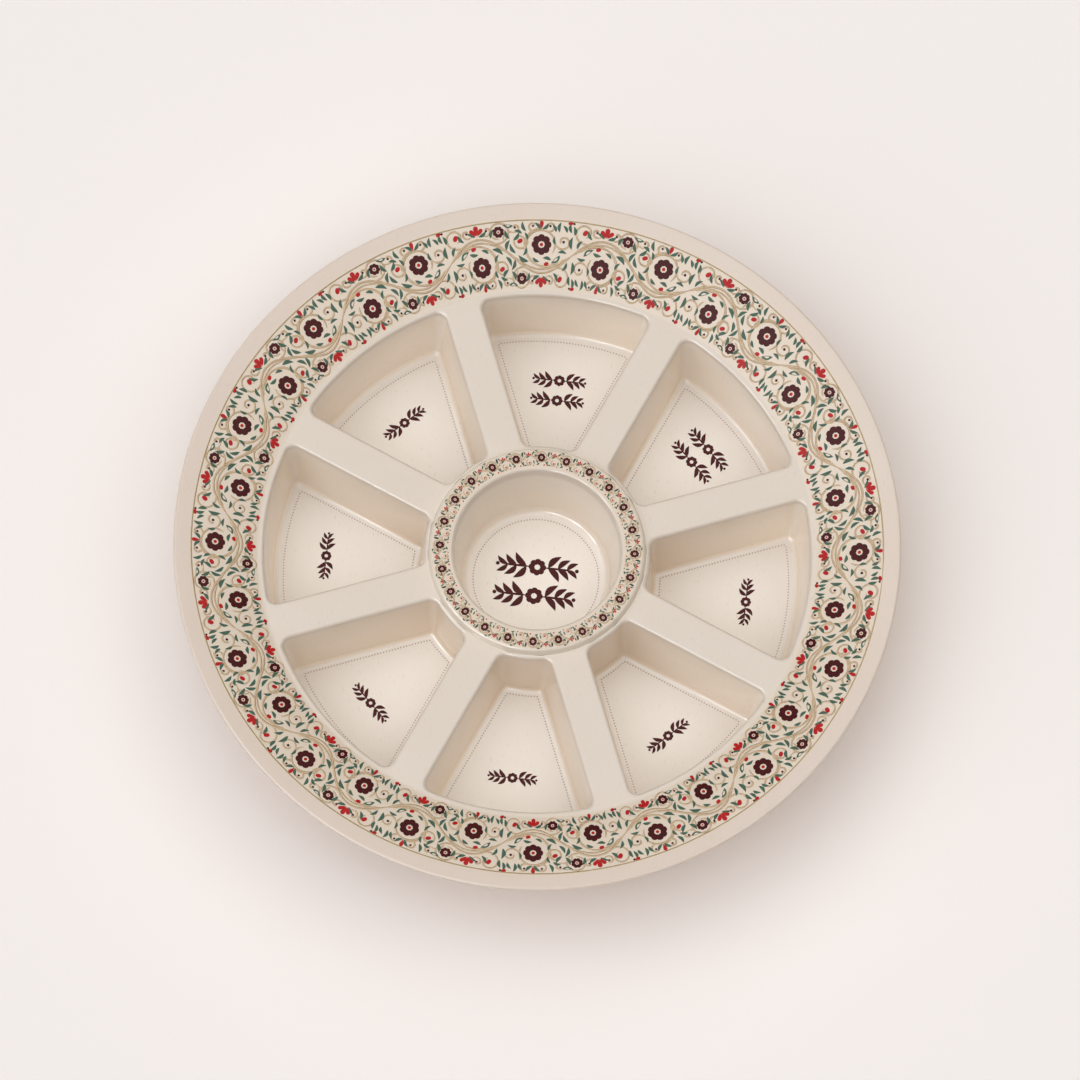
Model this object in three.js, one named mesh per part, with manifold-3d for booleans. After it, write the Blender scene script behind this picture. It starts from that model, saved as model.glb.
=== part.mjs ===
import * as THREE from 'three';
import { mergeVertices } from 'three/addons/utils/BufferGeometryUtils.js';
import Module from 'manifold-3d';

// Sectional serving plate: wedge-shaped wells round one round well, inside a wide sloping rim.
// The plate is one moulded dish of even wall, hollow under its dividers and open below.
// Thin printed overlay foils lie in shallow pockets of its upper face, one for each printed field.
// Millimetres, +Z up. The origin is the middle of the plate on the surface that its feet stand on.

// Plan of the dish, measured to sharp corners, before they are rounded
const PLATE_RADIUS = 180;
const WELL_COUNT = 8;
const RIM_WIDTH = 42; // slope from the level deck out to the lip
const OUTER_DECK_STRIP = 2.5; // level deck between the rim and the wedge wells
const DIVIDER_WIDTH = 18.4; // level top between two neighbouring wedge wells
const INNER_DECK_STRIP = 1.7; // level deck between the wedge wells and the raised ring
const RING_SHOULDER = 1.4; // how far the ring's outer shoulder leans out
const RING_WIDTH = 11.2; // top of the raised ring
const CENTRE_OPENING_RADIUS = 41.6;

// Heights
const WALL = 3;
const FOOT_HEIGHT = 1.5;
const WELL_DEPTH = 40.8; // level deck down to the well floors
const RIM_RISE = 13; // level deck up to the lip
const RIM_CROWN = 1.2; // how far the rim bulges above a straight slope
const RING_RISE = 4; // level deck up to the top of the ring

// Draft of the walls, in degrees from upright
const SIDE_DRAFT = 5.2;
const OUTER_DRAFT = 7.5;
const INNER_DRAFT = 3.1;
const CENTRE_DRAFT = 6.2;

// Rounded edges and fillets
const LIP_ROUND = 1.4;
const RIM_BLEND = 6; // hollow blend from the deck into the rim
const EDGE_ROUND = 1.8; // upper edge of every well
const RING_EDGE_ROUND = 1.2;
const FLOOR_FILLET = 3;
const CENTRE_FILLET = 4.5;
const CORNER_AT_OPENING = 5.5; // upright corners of a wedge well, seen from above
const CORNER_AT_FLOOR = 1.6;

// Feet: an arc under every wedge well and a ring under the round well
const FOOT_WIDTH = 4;
const FOOT_CORNER = 1.2;
const FOOT_ARC_MARGIN = 9.5; // outer edge of a wedge well's flat floor in to the arc's middle
const FOOT_ARC_INSET = 3; // arc's ends, back from the edge of the well's flat floor
const FOOT_RING_RADIUS = 25;

// Printed foils
const FOIL_THICKNESS = 0.4;
const FOIL_GAP = 0.3; // round every foil, and under the foil that follows the curved rim
const FOIL_CORNER = 1.2;
const BAND_INNER_MARGIN = 2.4; // start of the rim to its foil
const BAND_OUTER_MARGIN = 6.6; // rim foil to the lip
const RING_FOIL_MARGIN = 0.4; // rounded edges of the ring to its foil
const FLOOR_FOIL_MARGIN = 0.8; // flat floor of a wedge well to its foil, at the sides and inside
const OUTER_FOIL_MARGIN = 1.8; // the same along the outer wall
const CENTRE_FOIL_MARGIN = 1.4;

// Fineness of round shapes
const ROUND_STEPS = 64;
const RIM_STEPS = 3;
const ROUNDING_STEPS = 2;
const CORNER_STEPS = 3; // upright corners of a wedge well
const SMALL_CORNER_STEPS = 1; // corners of its foil, pocket and foot
const OUTER_ARC_STEPS = 3; // half of a wedge well's outer wall
const INNER_ARC_STEPS = 2; // half of its inner wall

// Finish
const DISH_COLOUR = 0xe2d6ca;
const DISH_ROUGHNESS = 0.36;
const FOIL_COLOUR = 0xe6dbd0;
const FOIL_ROUGHNESS = 0.3;

// Levels, radii and angles that follow from the sizes above
const floorTop = FOOT_HEIGHT + WALL;
const deckTop = floorTop + WELL_DEPTH;
const ringTop = deckTop + RING_RISE;
const rimStart = PLATE_RADIUS - RIM_WIDTH;
const ringOuter = CENTRE_OPENING_RADIUS + RING_WIDTH;
const ringFoot = ringOuter + RING_SHOULDER;
const wellTurn = 2 * Math.PI / WELL_COUNT;
const draft = {
  outer: THREE.MathUtils.degToRad(OUTER_DRAFT),
  inner: THREE.MathUtils.degToRad(INNER_DRAFT),
  side: THREE.MathUtils.degToRad(SIDE_DRAFT),
  centre: THREE.MathUtils.degToRad(CENTRE_DRAFT),
};

// How far a rounded corner between a level face and a leaning wall reaches along the level face
const roundReach = (rounding, lean) => rounding * Math.tan((Math.PI / 2 - lean) / 2);

// Sharp corners of the walls at the deck and at the floor. The side of a wedge well is measured
// from the middle of the divider beside it, and all else from the plate's axis.
const opening = {
  outer: rimStart - OUTER_DECK_STRIP,
  inner: ringFoot + INNER_DECK_STRIP,
  side: DIVIDER_WIDTH / 2,
};
const floorCorner = {
  outer: opening.outer - WELL_DEPTH * Math.tan(draft.outer),
  inner: opening.inner + WELL_DEPTH * Math.tan(draft.inner),
  side: opening.side + WELL_DEPTH * Math.tan(draft.side),
  centre: CENTRE_OPENING_RADIUS - (ringTop - floorTop) * Math.tan(draft.centre),
};

// Edges of the flat floors, inside the fillets
const flatFloor = {
  outer: floorCorner.outer - roundReach(FLOOR_FILLET, draft.outer),
  inner: floorCorner.inner + roundReach(FLOOR_FILLET, draft.inner),
  side: floorCorner.side + roundReach(FLOOR_FILLET, draft.side),
  centre: floorCorner.centre - roundReach(CENTRE_FILLET, draft.centre),
};

// Edges of the printed foils
const shoulderSlope = Math.atan2(RING_RISE, RING_SHOULDER);
const bandFoil = {
  inner: rimStart + BAND_INNER_MARGIN,
  outer: PLATE_RADIUS - BAND_OUTER_MARGIN,
};
const ringFoil = {
  inner: CENTRE_OPENING_RADIUS + roundReach(EDGE_ROUND, draft.centre) + RING_FOIL_MARGIN,
  outer: ringOuter - RING_EDGE_ROUND * Math.tan(shoulderSlope / 2) - RING_FOIL_MARGIN,
};
const wellFoil = {
  outer: flatFloor.outer - OUTER_FOIL_MARGIN,
  inner: flatFloor.inner + FLOOR_FOIL_MARGIN,
  side: flatFloor.side + FLOOR_FOIL_MARGIN,
  corner: FOIL_CORNER,
};
const centreFoilRadius = flatFloor.centre - CENTRE_FOIL_MARGIN;

const wasm = await Module();
wasm.setup();

// A closed geometry as a solid that can be joined and cut
function solidOf(geometry) {
  const bare = geometry.clone();
  bare.deleteAttribute('normal');
  bare.deleteAttribute('uv');
  const merged = mergeVertices(bare);
  const index = merged.index.array;
  const triangles = [];
  for (let i = 0; i < index.length; i += 3) {
    const [a, b, c] = index.slice(i, i + 3);
    if (a !== b && b !== c && c !== a) {
      triangles.push(a, b, c);
    }
  }
  const mesh = new wasm.Mesh({
    numProp: 3,
    vertProperties: new Float32Array(merged.attributes.position.array),
    triVerts: new Uint32Array(triangles),
  });
  return new wasm.Manifold(mesh);
}

// The surface of a solid as a geometry
function geometryOf(solid) {
  const mesh = solid.getMesh();
  const geometry = new THREE.BufferGeometry();
  geometry.setAttribute('position', new THREE.BufferAttribute(mesh.vertProperties, 3));
  geometry.setIndex(new THREE.BufferAttribute(mesh.triVerts, 1));
  geometry.computeVertexNormals();
  return geometry;
}

// A path through corners [radius, height, rounding], each corner rounded by an arc of its own.
// A rounding stays within half of the shorter side that it joins.
function roundedPath(corners) {
  const points = corners.map(([x, y]) => new THREE.Vector2(x, y));
  const path = [];
  corners.forEach(([, , rounding = 0], i) => {
    const corner = points[i];
    if (rounding === 0) {
      path.push(corner);
      return;
    }
    const back = points[i - 1].clone().sub(corner);
    const on = points[i + 1].clone().sub(corner);
    const reach = Math.min(back.length(), on.length()) / 2;
    back.normalize();
    on.normalize();
    const half = Math.acos(back.dot(on)) / 2;
    const cut = Math.min(rounding / Math.tan(half), reach);
    const bisector = back.clone().add(on).normalize();
    const centre = corner.clone().addScaledVector(bisector, cut / Math.cos(half));
    const spoke = corner.clone().addScaledVector(back, cut).sub(centre);
    const turn = -Math.sign(back.cross(on)) * (Math.PI - 2 * half);
    for (let step = 0; step <= ROUNDING_STEPS; step += 1) {
      const angle = spoke.angle() + turn * step / ROUNDING_STEPS;
      const reachOut = new THREE.Vector2(Math.cos(angle), Math.sin(angle));
      path.push(centre.clone().addScaledVector(reachOut, spoke.length()));
    }
  });
  return path;
}

// A profile of radius and height, turned about the plate's axis
function revolved(profile) {
  const geometry = new THREE.LatheGeometry(profile, ROUND_STEPS);
  geometry.rotateX(Math.PI / 2);
  return geometry;
}

// A ring with level faces
function flatRing(inner, outer, bottom, top) {
  const corners = [[inner, bottom], [outer, bottom], [outer, top], [inner, top], [inner, bottom]];
  return revolved(corners.map(([radius, height]) => new THREE.Vector2(radius, height)));
}

// Height of the rim's upper face
function rimHeight(radius) {
  const along = (radius - rimStart) / RIM_WIDTH;
  return deckTop + RIM_RISE * along + 4 * RIM_CROWN * along * (1 - along);
}

// Points along the rim from one radius to another, some way below its upper face
function rimPoints(from, to, drop) {
  return Array.from({ length: RIM_STEPS + 1 }, (_, step) => {
    const radius = THREE.MathUtils.lerp(from, to, step / RIM_STEPS);
    return [radius, rimHeight(radius) - drop];
  });
}

// How far a wedge well's wall stands out from its sharp floor corner, at a height over the floor.
// The inner face has no skin, and the outer face lies one wall's thickness outside it.
function wallReach(height, lean, skin) {
  const fillet = FLOOR_FILLET + skin;
  const filletEnd = FLOOR_FILLET - fillet * Math.sin(lean);
  const edgeStart = WELL_DEPTH - EDGE_ROUND * (1 - Math.sin(lean));
  if (height < filletEnd) {
    const drop = FLOOR_FILLET - height;
    return Math.sqrt(Math.max(fillet ** 2 - drop ** 2, 0)) - roundReach(FLOOR_FILLET, lean);
  }
  if (skin === 0 && height > edgeStart) {
    const rise = height - WELL_DEPTH + EDGE_ROUND;
    const edgeEnd = WELL_DEPTH * Math.tan(lean) + roundReach(EDGE_ROUND, lean);
    return edgeEnd - Math.sqrt(Math.max(EDGE_ROUND ** 2 - rise ** 2, 0));
  }
  return height * Math.tan(lean) + skin / Math.cos(lean);
}

// Section of a wedge well at a height over its floor
function wellSection(height, skin) {
  const side = wallReach(height, draft.side, skin);
  const lowest = wallReach(0, draft.side, 0);
  const highest = wallReach(WELL_DEPTH, draft.side, 0);
  const share = THREE.MathUtils.clamp((side - skin - lowest) / (highest - lowest), 0, 1);
  return {
    outer: floorCorner.outer + wallReach(height, draft.outer, skin),
    inner: floorCorner.inner - wallReach(height, draft.inner, skin),
    side: floorCorner.side - side,
    corner: THREE.MathUtils.lerp(CORNER_AT_FLOOR, CORNER_AT_OPENING, share) + skin,
    cornerSteps: CORNER_STEPS,
    level: floorTop + height,
  };
}

// Outline of a wedge whose middle lies along +Y: arcs of two radii, and two straight sides that
// stay a fixed distance from the middles of the dividers, joined by rounded corners
function wedgeOutline({ outer, inner, side, corner, cornerSteps = SMALL_CORNER_STEPS }) {
  const half = wellTurn / 2;
  const along = new THREE.Vector2(Math.sin(half), Math.cos(half));
  const away = new THREE.Vector2(-Math.cos(half), Math.sin(half));
  const cornerCentre = (distance) => {
    const run = Math.sqrt(distance ** 2 - (side + corner) ** 2);
    return along.clone().multiplyScalar(run).addScaledVector(away, side + corner);
  };
  const arc = (centre, radius, from, to, steps) => Array.from({ length: steps + 1 }, (_, step) => {
    const angle = THREE.MathUtils.lerp(from, to, step / steps);
    return new THREE.Vector2(Math.cos(angle), Math.sin(angle)).multiplyScalar(radius).add(centre);
  });
  const axis = new THREE.Vector2();
  const outerCentre = cornerCentre(outer - corner);
  const innerCentre = cornerCentre(inner + corner);
  const right = [
    ...arc(axis, outer, Math.PI / 2, outerCentre.angle(), OUTER_ARC_STEPS).slice(0, -1),
    ...arc(outerCentre, corner, outerCentre.angle(), -half, cornerSteps),
    ...arc(innerCentre, corner, -half, innerCentre.angle() - Math.PI, cornerSteps),
    ...arc(axis, inner, innerCentre.angle(), Math.PI / 2, INNER_ARC_STEPS).slice(1),
  ];
  const sides = right.slice(1, -1);
  const left = sides.map((point) => new THREE.Vector2(-point.x, point.y));
  return [right[0], ...left, right.at(-1), ...sides.reverse()];
}

// A closed solid through wedge sections, given from the lowest to the highest
function loftedWedge(sections) {
  const rings = sections.map(wedgeOutline);
  const count = rings[0].length;
  const positions = rings.flatMap((ring, i) => ring.flatMap(({ x, y }) => [x, y, sections[i].level]));
  const index = [];
  for (let i = 0; i < rings.length - 1; i += 1) {
    for (let j = 0; j < count; j += 1) {
      const low = i * count + j;
      const lowNext = i * count + (j + 1) % count;
      index.push(low, lowNext, lowNext + count, low, lowNext + count, low + count);
    }
  }
  const top = (rings.length - 1) * count;
  THREE.ShapeUtils.triangulateShape(rings[0], []).forEach(([a, b, c]) => index.push(a, c, b));
  THREE.ShapeUtils.triangulateShape(rings.at(-1), []).forEach(([a, b, c]) => {
    index.push(top + a, top + b, top + c);
  });
  const geometry = new THREE.BufferGeometry();
  geometry.setAttribute('position', new THREE.Float32BufferAttribute(positions, 3));
  geometry.setIndex(index);
  return geometry;
}

// A wedge with upright walls between two levels
const uprightWedge = (outline, bottom, top) => loftedWedge([
  { ...outline, level: bottom },
  { ...outline, level: top },
]);

// Heights over the floor at which a wall's foot fillet and its rounded upper edge are drawn
const filletHeights = (skin) => Array.from({ length: ROUNDING_STEPS + 1 }, (_, step) => {
  const angle = (Math.PI / 2 - draft.side) * step / ROUNDING_STEPS;
  return FLOOR_FILLET - (FLOOR_FILLET + skin) * Math.cos(angle);
});
const edgeHeights = Array.from({ length: ROUNDING_STEPS + 1 }, (_, step) => {
  const angle = THREE.MathUtils.lerp(draft.side, Math.PI / 2, step / ROUNDING_STEPS);
  return WELL_DEPTH - EDGE_ROUND + EDGE_ROUND * Math.sin(angle);
});

// The room inside one wedge well, running on upwards past the deck
function wellRoom() {
  const sections = [...filletHeights(0), ...edgeHeights].map((height) => wellSection(height, 0));
  return loftedWedge([...sections, { ...sections.at(-1), level: deckTop + EDGE_ROUND }]);
}

// The moulded bulge below one wedge well, running up into the deck
function wellBulge() {
  const heights = [...filletHeights(WALL), WELL_DEPTH - WALL / 2];
  return loftedWedge(heights.map((height) => wellSection(height, WALL)));
}

// The foot arc below one wedge well
function footArc() {
  const middle = flatFloor.outer - FOOT_ARC_MARGIN;
  const outline = {
    outer: middle + FOOT_WIDTH / 2,
    inner: middle - FOOT_WIDTH / 2,
    side: flatFloor.side + FOOT_ARC_INSET,
    corner: FOOT_CORNER,
  };
  return uprightWedge(outline, 0, FOOT_HEIGHT + WALL / 2);
}

// The pocket for the foil on one wedge well's floor
function wellPocket() {
  const outline = {
    outer: wellFoil.outer + FOIL_GAP,
    inner: wellFoil.inner - FOIL_GAP,
    side: wellFoil.side - FOIL_GAP,
    corner: wellFoil.corner + FOIL_GAP,
  };
  return uprightWedge(outline, floorTop - FOIL_THICKNESS, floorTop + WALL);
}

// Underside of the dish from the axis out to the lip: round well, ring, deck and rim
function undersideCorners() {
  const centreLean = Math.tan(draft.centre);
  const centreSkin = floorCorner.centre + WALL / Math.cos(draft.centre);
  const shoulderShift = WALL * Math.tan(shoulderSlope / 2);
  return [
    [0, FOOT_HEIGHT],
    [FOOT_RING_RADIUS - FOOT_WIDTH / 2, FOOT_HEIGHT],
    [FOOT_RING_RADIUS - FOOT_WIDTH / 2, 0],
    [FOOT_RING_RADIUS + FOOT_WIDTH / 2, 0],
    [FOOT_RING_RADIUS + FOOT_WIDTH / 2, FOOT_HEIGHT],
    [centreSkin - WALL * centreLean, FOOT_HEIGHT, CENTRE_FILLET + WALL],
    [centreSkin + (ringTop - WALL - floorTop) * centreLean, ringTop - WALL],
    [ringOuter - shoulderShift, ringTop - WALL],
    [ringFoot - shoulderShift, deckTop - WALL],
    [rimStart, deckTop - WALL, RIM_BLEND],
    ...rimPoints(rimStart, PLATE_RADIUS, WALL).slice(1, -1),
    [PLATE_RADIUS, rimHeight(PLATE_RADIUS) - WALL, LIP_ROUND],
  ];
}

// Upper face of the dish from the lip in to the axis, with the pockets of the round foils
function upperCorners() {
  const band = { inner: bandFoil.inner - FOIL_GAP, outer: bandFoil.outer + FOIL_GAP };
  const ring = { inner: ringFoil.inner - FOIL_GAP, outer: ringFoil.outer + FOIL_GAP };
  const centre = centreFoilRadius + FOIL_GAP;
  return [
    [PLATE_RADIUS, rimHeight(PLATE_RADIUS), LIP_ROUND],
    [band.outer, rimHeight(band.outer)],
    ...rimPoints(band.outer, band.inner, FOIL_THICKNESS + FOIL_GAP),
    [band.inner, rimHeight(band.inner)],
    [rimStart, deckTop, RIM_BLEND],
    [ringFoot, deckTop],
    [ringOuter, ringTop, RING_EDGE_ROUND],
    [ring.outer, ringTop],
    [ring.outer, ringTop - FOIL_THICKNESS],
    [ring.inner, ringTop - FOIL_THICKNESS],
    [ring.inner, ringTop],
    [CENTRE_OPENING_RADIUS, ringTop, EDGE_ROUND],
    [floorCorner.centre, floorTop, CENTRE_FILLET],
    [centre, floorTop],
    [centre, floorTop - FOIL_THICKNESS],
    [0, floorTop - FOIL_THICKNESS],
  ];
}

// The moulded dish: rim, deck, ring and round well are turned, and each wedge well adds its bulge
// and its foot below the deck before its room and its foil's pocket are cut
function moulding() {
  const turned = roundedPath([...undersideCorners(), ...upperCorners()]);
  let dish = solidOf(revolved(turned));
  const forEachWell = (geometry, change) => {
    for (let well = 0; well < WELL_COUNT; well += 1) {
      dish = change(dish, solidOf(geometry.clone().rotateZ(-well * wellTurn)));
    }
  };
  const join = (solid, other) => solid.add(other);
  const cut = (solid, other) => solid.subtract(other);
  forEachWell(wellBulge(), join);
  forEachWell(footArc(), join);
  forEachWell(wellRoom(), cut);
  forEachWell(wellPocket(), cut);
  return geometryOf(dish);
}

// The foil round the rim, which follows the rim's slope
function rimFoil() {
  const upper = rimPoints(bandFoil.inner, bandFoil.outer, 0);
  const lower = rimPoints(bandFoil.outer, bandFoil.inner, FOIL_THICKNESS);
  const profile = [...upper, ...lower, upper[0]].reverse();
  return revolved(profile.map(([radius, height]) => new THREE.Vector2(radius, height)));
}

// A sub-part with a finish of its own
function subPart(name, geometry, color, roughness) {
  const material = new THREE.MeshStandardMaterial({ color, roughness, metalness: 0 });
  const mesh = new THREE.Mesh(geometry, material);
  mesh.name = name;
  return mesh;
}

const foil = (name, geometry) => subPart(name, geometry, FOIL_COLOUR, FOIL_ROUGHNESS);
const floorPocket = floorTop - FOIL_THICKNESS;

const plate = new THREE.Group();
plate.add(subPart('plate_body', moulding(), DISH_COLOUR, DISH_ROUGHNESS));
plate.add(foil('rim_band_foil', rimFoil()));
plate.add(foil('ring_foil', flatRing(ringFoil.inner, ringFoil.outer, ringTop - FOIL_THICKNESS, ringTop)));
plate.add(foil('centre_well_foil', flatRing(0, centreFoilRadius, floorPocket, floorTop)));
for (let well = 0; well < WELL_COUNT; well += 1) {
  const mesh = foil(`well_foil_${well + 1}`, uprightWedge(wellFoil, floorPocket, floorTop));
  mesh.rotation.z = -well * wellTurn;
  plate.add(mesh);
}

export default plate;
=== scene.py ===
import math

import bmesh
import bpy
from mathutils import Matrix, Vector


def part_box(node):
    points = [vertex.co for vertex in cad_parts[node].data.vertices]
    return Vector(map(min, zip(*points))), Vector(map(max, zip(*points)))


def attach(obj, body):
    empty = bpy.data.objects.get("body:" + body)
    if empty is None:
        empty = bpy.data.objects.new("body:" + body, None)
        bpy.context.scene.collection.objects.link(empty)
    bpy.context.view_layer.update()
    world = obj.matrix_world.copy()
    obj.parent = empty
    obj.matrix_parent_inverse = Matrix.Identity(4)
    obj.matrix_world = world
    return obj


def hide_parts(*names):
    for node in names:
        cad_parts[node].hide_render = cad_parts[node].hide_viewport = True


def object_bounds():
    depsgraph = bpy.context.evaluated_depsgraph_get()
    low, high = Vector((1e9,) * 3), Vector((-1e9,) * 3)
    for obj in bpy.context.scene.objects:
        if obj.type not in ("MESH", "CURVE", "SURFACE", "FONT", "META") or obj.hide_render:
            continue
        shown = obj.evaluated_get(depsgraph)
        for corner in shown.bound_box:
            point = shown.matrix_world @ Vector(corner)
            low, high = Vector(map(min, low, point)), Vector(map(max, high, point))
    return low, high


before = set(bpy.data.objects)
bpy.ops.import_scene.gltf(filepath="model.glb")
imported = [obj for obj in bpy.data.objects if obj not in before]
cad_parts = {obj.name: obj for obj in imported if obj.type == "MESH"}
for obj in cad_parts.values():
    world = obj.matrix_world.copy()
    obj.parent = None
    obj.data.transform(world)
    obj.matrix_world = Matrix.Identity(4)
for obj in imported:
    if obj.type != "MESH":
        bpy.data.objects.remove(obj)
cad_low, cad_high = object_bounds()

# A sectional serving plate: wedge wells round one round well, inside a wide sloping rim.
# Everything is drawn in millimetres, +Z up, and is brought to metres when a piece is finished.
MM = 0.001

# Sizes read from the frame
PLATE_RADIUS = cad_high.x / MM
FLOOR_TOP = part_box("centre_well_foil")[1].z / MM
RING_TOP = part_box("ring_foil")[1].z / MM
LINE_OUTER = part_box("well_foil_1")[1].y / MM
CENTRE_LINE_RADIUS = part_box("centre_well_foil")[1].x / MM

# Plan and heights of the dish, as in its construction
WELL_COUNT = 8
RIM_WIDTH = 42
OPENING_OUTER = 135.5
OPENING_INNER = 55.9
OPENING_SIDE = 9.2
RING_OUTER = 52.8
RING_FOOT = 54.1
CENTRE_OPENING_RADIUS = 41.6
WALL = 3
FOOT_HEIGHT = 1.5
WELL_DEPTH = 40.8
RIM_CROWN = 1.2
LIP_DROP = 0.28 # what the lip's round takes off the rim's height
RIM_BLEND = 1.2 # half of the hollow between the deck and the rim
SECTOR_OUTER = 137.4 # where the deck round a wedge well meets the turned rim
UNDER_OUTER = 138.8 # the same on the underside

# Draft of the walls, rounded edges and fillets
SIDE_DRAFT = math.radians(5.2)
OUTER_DRAFT = math.radians(7.5)
INNER_DRAFT = math.radians(3.1)
CENTRE_DRAFT = math.radians(6.2)
LIP_ROUND = 1.4
EDGE_ROUND = 1.8
RING_EDGE_ROUND = 1.9
FLOOR_FILLET = 3
CENTRE_FILLET = 4.5
CORNER_AT_OPENING = 5.5
CORNER_AT_FLOOR = 1.6

# Feet
FOOT_WIDTH = 4
FOOT_ROUND = 0.5
FOOT_CORNER = 1.2
FOOT_ARC_RADIUS = 118
FOOT_ARC_SIDE = 18.6
FOOT_RING_RADIUS = 25

# Fineness
OUTER_STEPS = 12 # half of a wedge well's outer wall
INNER_STEPS = 6 # half of its inner wall
CORNER_STEPS = 8
ROUND_STEPS = 6
RIM_ROWS = 14
BLEND_ROWS = (-0.3, 0, 0.3, 0.65, 1) # across the hollow, as shares of RIM_BLEND
RIM_COLUMNS = 2 * WELL_COUNT * OUTER_STEPS
RING_COLUMNS = 2 * WELL_COUNT * INNER_STEPS
MERGE_DISTANCE = 0.02
SHARP_ANGLE = math.radians(40)

deck_top = FLOOR_TOP + WELL_DEPTH
rim_rise = cad_high.z / MM + LIP_DROP - deck_top
rim_start = PLATE_RADIUS - RIM_WIDTH
well_turn = 2 * math.pi / WELL_COUNT

# The round well's floor where it would meet its wall without a fillet
centre_floor_edge = CENTRE_OPENING_RADIUS - (RING_TOP - FLOOR_TOP) * math.tan(CENTRE_DRAFT)

# How far the corners of the ring's shoulder lie further in on the underside
shoulder_slope = math.atan2(RING_TOP - deck_top, RING_FOOT - RING_OUTER)
shoulder_shift = WALL * math.tan(shoulder_slope / 2)


# Camera

FRAME_PIXELS = 1080
PIXELS_PER_MM = 2.02
DECK_CENTRE_PIXEL = (537.1, 552.0)
CAMERA_ELEVATION = math.radians(70.8)
CAMERA_AZIMUTH = math.radians(4.0)
CAMERA_ROLL = math.radians(2.5)
CAMERA_DISTANCE = 8000
SENSOR_WIDTH = 36
NEAREST_SEEN = 1 # metres from the camera
FARTHEST_SEEN = 100


def make_camera():
    """A camera with a long lens, almost overhead, that holds the deck's middle on its pixel."""
    forward = Vector((-math.sin(CAMERA_AZIMUTH) * math.cos(CAMERA_ELEVATION),
                      math.cos(CAMERA_AZIMUTH) * math.cos(CAMERA_ELEVATION),
                      -math.sin(CAMERA_ELEVATION)))
    level_right = Vector((math.cos(CAMERA_AZIMUTH), math.sin(CAMERA_AZIMUTH), 0))
    level_up = level_right.cross(forward)
    right = math.cos(CAMERA_ROLL) * level_right + math.sin(CAMERA_ROLL) * level_up
    up = math.cos(CAMERA_ROLL) * level_up - math.sin(CAMERA_ROLL) * level_right
    off_right = (FRAME_PIXELS / 2 - DECK_CENTRE_PIXEL[0]) / PIXELS_PER_MM
    off_up = (DECK_CENTRE_PIXEL[1] - FRAME_PIXELS / 2) / PIXELS_PER_MM
    aim = Vector((0, 0, deck_top)) + off_right * right + off_up * up
    bpy.ops.object.camera_add(location=(aim - CAMERA_DISTANCE * forward) * MM)
    camera = bpy.context.object
    camera.name = "camera"
    camera.rotation_euler = Matrix((right, up, -forward)).transposed().to_euler()
    camera.data.sensor_width = SENSOR_WIDTH
    camera.data.lens = SENSOR_WIDTH * CAMERA_DISTANCE * PIXELS_PER_MM / FRAME_PIXELS
    camera.data.clip_start = NEAREST_SEEN
    camera.data.clip_end = FARTHEST_SEEN
    bpy.context.scene.camera = camera


# Shared steps of modelling

def add_points(points, height):
    """Starts a new mesh object in edit mode with one closed loop of points, all of it selected."""
    bpy.ops.object.select_all(action="DESELECT")
    bpy.ops.mesh.primitive_circle_add(vertices=len(points), fill_type="NOTHING")
    bpy.ops.object.mode_set(mode="EDIT")
    place_loop(points, height)


def place_loop(points, height):
    """Puts the selected loop on new points, at a height or at heights that a function gives."""
    mesh = bpy.context.object.data
    loop = [vertex for vertex in bmesh.from_edit_mesh(mesh).verts if vertex.select]
    for vertex, (x, y) in zip(loop, points):
        vertex.co = (x, y, height(math.hypot(x, y)) if callable(height) else height)
    bmesh.update_edit_mesh(mesh)


def next_loop(points, height):
    """Extrudes the selected loop to new points."""
    bpy.ops.mesh.extrude_edges_move()
    place_loop(points, height)


def end_modelling(name, close=False):
    """Closes the last loop with a face where asked, leaves edit mode and names the object."""
    if close:
        bpy.ops.mesh.edge_face_add()
    bpy.ops.object.mode_set(mode="OBJECT")
    piece = bpy.context.object
    piece.name = name
    return piece


def turned(name, profile, columns, close=False):
    """A circle extruded ring by ring through points of radius and height."""
    (radius, height), *rest = profile
    bpy.ops.object.select_all(action="DESELECT")
    bpy.ops.mesh.primitive_circle_add(vertices=columns, radius=radius, location=(0, 0, height))
    bpy.ops.object.transform_apply(location=True)
    bpy.ops.object.mode_set(mode="EDIT")
    for next_radius, next_height in rest:
        scale = next_radius / radius
        rise = {"value": (0, 0, next_height - height)}
        bpy.ops.mesh.extrude_edges_move(TRANSFORM_OT_translate=rise)
        bpy.ops.transform.resize(value=(scale, scale, 1), center_override=(0, 0, 0))
        radius, height = next_radius, next_height
    return end_modelling(name, close)


def copy_of(piece, turn):
    """A copy of a piece with its own mesh, turned clockwise about the plate's axis."""
    copied = piece.copy()
    copied.data = piece.data.copy()
    bpy.context.collection.objects.link(copied)
    copied.data.transform(Matrix.Rotation(-turn, 4, "Z"))
    return copied


def joined(name, pieces):
    """Several pieces as one mesh."""
    bpy.ops.object.select_all(action="DESELECT")
    for piece in pieces:
        piece.select_set(True)
    bpy.context.view_layer.objects.active = pieces[0]
    if len(pieces) > 1:
        bpy.ops.object.join()
    piece = bpy.context.object
    piece.name = name
    return piece


def to_metres(piece):
    piece.data.transform(Matrix.Scale(MM, 4))


# Profiles

def round_reach(rounding, lean):
    """How far a rounded corner between a level face and a leaning wall reaches along the face."""
    return rounding * math.tan((math.pi / 2 - lean) / 2)


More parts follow.
